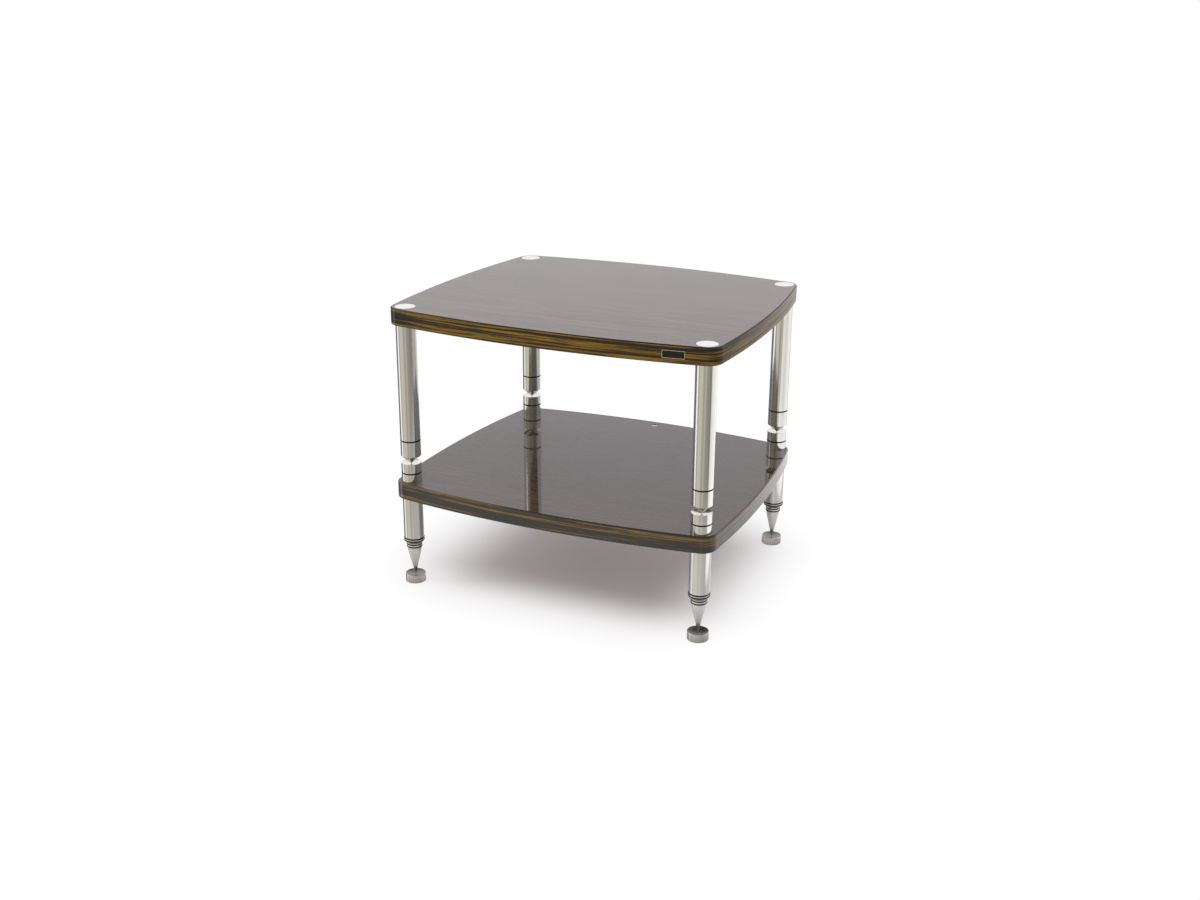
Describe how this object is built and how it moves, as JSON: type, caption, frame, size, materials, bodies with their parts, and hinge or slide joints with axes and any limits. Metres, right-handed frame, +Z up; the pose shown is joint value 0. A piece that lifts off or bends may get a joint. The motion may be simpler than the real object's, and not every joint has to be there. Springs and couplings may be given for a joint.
{
  "type": "hi-fi rack",
  "caption": "Low modular hi-fi rack: bowed glossy striped veneer shelves on round stainless columns with spikes, dished cups, levelling floor spikes and loose pads.",
  "frame": {"origin": "on the floor under the middle of the rack", "axes": "+Z up, -Y the front with the badge plate, +X to the right seen from the front"},
  "size_m": [0.688, 0.5968, 0.574],
  "materials": {
    "striped_veneer": "gloss lacquer",
    "satin_stainless": "satin",
    "bright_stainless": "bright turned",
    "ring_rubber": "matt",
    "zinc_steel": "zinc plated",
    "plug_aluminium": "turned",
    "badge_metal": "dark field, bright frame",
    "case_aluminium": "satin",
    "level_liquid": "clear liquid",
    "level_window": "clear"
  },
  "bodies": {
    "lower_level": {"lower_shelf": "striped_veneer", "level_case": "case_aluminium", "level_liquid": "level_liquid", "level_window": "level_window", "levelling_plugs": "plug_aluminium", "lower_column_plugs": "plug_aluminium", "shelf_studs": "zinc_steel", "receiver_rings": "ring_rubber", "receiver_cup_front_left": "satin_stainless", "seat_spacer_front_left": "satin_stainless", "lower_column_front_left": "satin_stainless", "receiver_cup_front_right": "satin_stainless", "seat_spacer_front_right": "satin_stainless", "lower_column_front_right": "satin_stainless", "receiver_cup_rear_left": "satin_stainless", "seat_spacer_rear_left": "satin_stainless", "lower_column_rear_left": "satin_stainless", "receiver_cup_rear_right": "satin_stainless", "seat_spacer_rear_right": "satin_stainless", "lower_column_rear_right": "satin_stainless"},
    "upper_level": {"top_shelf": "striped_veneer", "badge_plate": "badge_metal", "upper_column_plugs": "plug_aluminium", "nose_studs": "zinc_steel", "top_studs": "zinc_steel", "nose_rings": "ring_rubber", "top_cap_front_left": "bright_stainless", "upper_column_front_left": "satin_stainless", "spike_nose_front_left": "satin_stainless", "top_cap_front_right": "bright_stainless", "upper_column_front_right": "satin_stainless", "spike_nose_front_right": "satin_stainless", "top_cap_rear_left": "bright_stainless", "upper_column_rear_left": "satin_stainless", "spike_nose_rear_left": "satin_stainless", "top_cap_rear_right": "bright_stainless", "upper_column_rear_right": "satin_stainless", "spike_nose_rear_right": "satin_stainless"},
    "collar_front_left": {"lock_collar_front_left": "satin_stainless", "collar_ring_front_left": "ring_rubber"},
    "spike_front_left": {"floor_spike_front_left": "bright_stainless", "spike_rings_front_left": "ring_rubber"},
    "pad_front_left": {"floor_pad_front_left": "bright_stainless"},
    "collar_front_right": {"lock_collar_front_right": "satin_stainless", "collar_ring_front_right": "ring_rubber"},
    "spike_front_right": {"floor_spike_front_right": "bright_stainless", "spike_rings_front_right": "ring_rubber"},
    "pad_front_right": {"floor_pad_front_right": "bright_stainless"},
    "collar_rear_left": {"lock_collar_rear_left": "satin_stainless", "collar_ring_rear_left": "ring_rubber"},
    "spike_rear_left": {"floor_spike_rear_left": "bright_stainless", "spike_rings_rear_left": "ring_rubber"},
    "pad_rear_left": {"floor_pad_rear_left": "bright_stainless"},
    "collar_rear_right": {"lock_collar_rear_right": "satin_stainless", "collar_ring_rear_right": "ring_rubber"},
    "spike_rear_right": {"floor_spike_rear_right": "bright_stainless", "spike_rings_rear_right": "ring_rubber"},
    "pad_rear_right": {"floor_pad_rear_right": "bright_stainless"}
  },
  "joints": [
    {"name": "upper_level_lift", "type": "slide", "parent": "lower_level", "child": "upper_level", "axis": [0, 0, 1], "range_m": [0, 0.1]},
    {"name": "spike_travel_front_left", "type": "slide", "parent": "lower_level", "child": "collar_front_left", "axis": [0, 0, -1], "range_m": [0, 0.008]},
    {"name": "spike_turn_front_left", "type": "hinge", "parent": "collar_front_left", "child": "spike_front_left", "pos_m": [-0.3075, -0.248, 0.09], "axis": [0, 0, -1], "range_deg": [0, 1645.8]},
    {"name": "pad_swivel_front_left", "type": "hinge", "parent": "spike_front_left", "child": "pad_front_left", "pos_m": [-0.3075, -0.248, 0.0135], "axis": [0, 0, 1], "continuous": true},
    {"name": "spike_travel_front_right", "type": "slide", "parent": "lower_level", "child": "collar_front_right", "axis": [0, 0, -1], "range_m": [0, 0.008]},
    {"name": "spike_turn_front_right", "type": "hinge", "parent": "collar_front_right", "child": "spike_front_right", "pos_m": [0.3075, -0.248, 0.09], "axis": [0, 0, -1], "range_deg": [0, 1645.8]},
    {"name": "pad_swivel_front_right", "type": "hinge", "parent": "spike_front_right", "child": "pad_front_right", "pos_m": [0.3075, -0.248, 0.0135], "axis": [0, 0, 1], "continuous": true},
    {"name": "spike_travel_rear_left", "type": "slide", "parent": "lower_level", "child": "collar_rear_left", "axis": [0, 0, -1], "range_m": [0, 0.008]},
    {"name": "spike_turn_rear_left", "type": "hinge", "parent": "collar_rear_left", "child": "spike_rear_left", "pos_m": [-0.29125, 0.248, 0.09], "axis": [0, 0, -1], "range_deg": [0, 1645.8]},
    {"name": "pad_swivel_rear_left", "type": "hinge", "parent": "spike_rear_left", "child": "pad_rear_left", "pos_m": [-0.29125, 0.248, 0.0135], "axis": [0, 0, 1], "continuous": true},
    {"name": "spike_travel_rear_right", "type": "slide", "parent": "lower_level", "child": "collar_rear_right", "axis": [0, 0, -1], "range_m": [0, 0.008]},
    {"name": "spike_turn_rear_right", "type": "hinge", "parent": "collar_rear_right", "child": "spike_rear_right", "pos_m": [0.29125, 0.248, 0.09], "axis": [0, 0, -1], "range_deg": [0, 1645.8]},
    {"name": "pad_swivel_rear_right", "type": "hinge", "parent": "spike_rear_right", "child": "pad_rear_right", "pos_m": [0.29125, 0.248, 0.0135], "axis": [0, 0, 1], "continuous": true}
  ],
  "couplings": [
    {"joint": "spike_turn_front_left", "follows": "spike_travel_front_left", "rad_per_m": 3590.4},
    {"joint": "spike_turn_front_right", "follows": "spike_travel_front_right", "rad_per_m": 3590.4},
    {"joint": "spike_turn_rear_left", "follows": "spike_travel_rear_left", "rad_per_m": 3590.4},
    {"joint": "spike_turn_rear_right", "follows": "spike_travel_rear_right", "rad_per_m": 3590.4}
  ]
}
